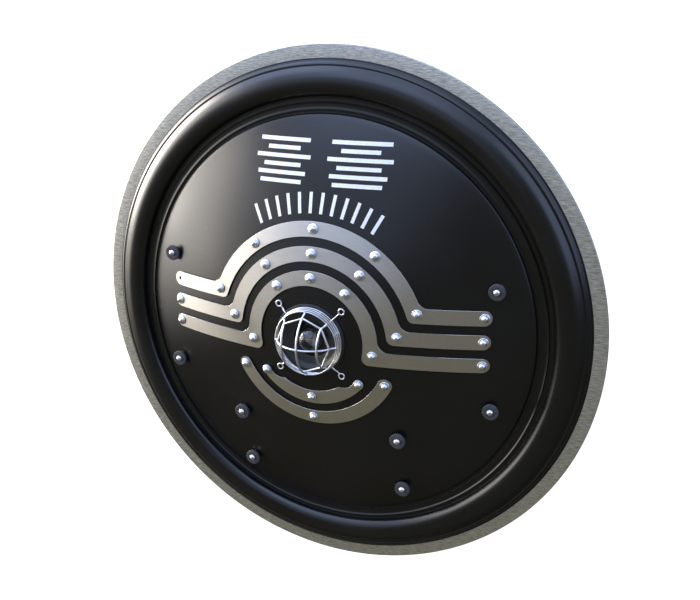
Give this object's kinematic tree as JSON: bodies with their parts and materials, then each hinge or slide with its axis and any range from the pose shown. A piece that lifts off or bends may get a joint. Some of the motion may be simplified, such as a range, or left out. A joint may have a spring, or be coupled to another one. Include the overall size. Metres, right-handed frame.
{
  "type": "round riot shield",
  "caption": "Round black riot shield with a steel rim ring, omega-shaped steel strips, a caged centre lamp, and straps and a battery box inside.",
  "frame": {"origin": "centre of the circle on which the rim ring's underside lies, straight below the middle of the dome", "axes": "+Z out of the front of the shield, +Y to its top edge, +X to the right as seen from the front"},
  "size_m": [0.5624, 0.5624, 0.092],
  "materials": {
    "black_shell": "satin black polycarbonate",
    "brushed_steel": "brushed in one direction",
    "satin_strip": "fine satin",
    "bright_steel": "bright polished",
    "dark_rubber": "matt",
    "black_plastic": "fine matt",
    "clear_glass": "clear"
  },
  "bodies": {
    "root": {"rim_ring": "brushed_steel", "shell": "black_shell", "lamp_base": "black_plastic", "lamp_bulb": "clear_glass", "lamp_guard": "bright_steel", "hand_strap": "dark_rubber", "arm_strap": "dark_rubber", "battery_box": "black_plastic", "strip_upper_outer": "satin_strip", "strip_upper_middle": "satin_strip", "strip_upper_inner": "satin_strip", "strip_lower_inner": "satin_strip", "strip_lower_outer": "satin_strip", "strip_screw_01": "bright_steel", "strip_screw_02": "bright_steel", "strip_screw_03": "bright_steel", "strip_screw_04": "bright_steel", "strip_screw_05": "bright_steel", "strip_screw_06": "bright_steel", "strip_screw_07": "bright_steel", "strip_screw_08": "bright_steel", "strip_screw_09": "bright_steel", "strip_screw_10": "bright_steel", "strip_screw_11": "bright_steel", "strip_screw_12": "bright_steel", "strip_screw_13": "bright_steel", "strip_screw_14": "bright_steel", "strip_screw_15": "bright_steel", "strip_screw_16": "bright_steel", "strip_screw_17": "bright_steel", "strip_screw_18": "bright_steel", "strip_screw_19": "bright_steel", "strip_screw_20": "bright_steel", "strip_screw_21": "bright_steel", "strip_screw_22": "bright_steel", "strip_screw_23": "bright_steel", "strip_screw_24": "bright_steel", "strip_screw_25": "bright_steel", "strip_screw_26": "bright_steel", "spacer_1": "dark_rubber", "spacer_screw_1": "bright_steel", "spacer_2": "dark_rubber", "spacer_screw_2": "bright_steel", "spacer_3": "dark_rubber", "spacer_screw_3": "bright_steel", "spacer_4": "dark_rubber", "spacer_screw_4": "bright_steel", "spacer_5": "dark_rubber", "spacer_screw_5": "bright_steel", "spacer_6": "dark_rubber", "spacer_screw_6": "bright_steel", "spacer_7": "dark_rubber", "spacer_screw_7": "bright_steel", "spacer_8": "dark_rubber", "spacer_screw_8": "bright_steel"}
  },
  "joints": []
}
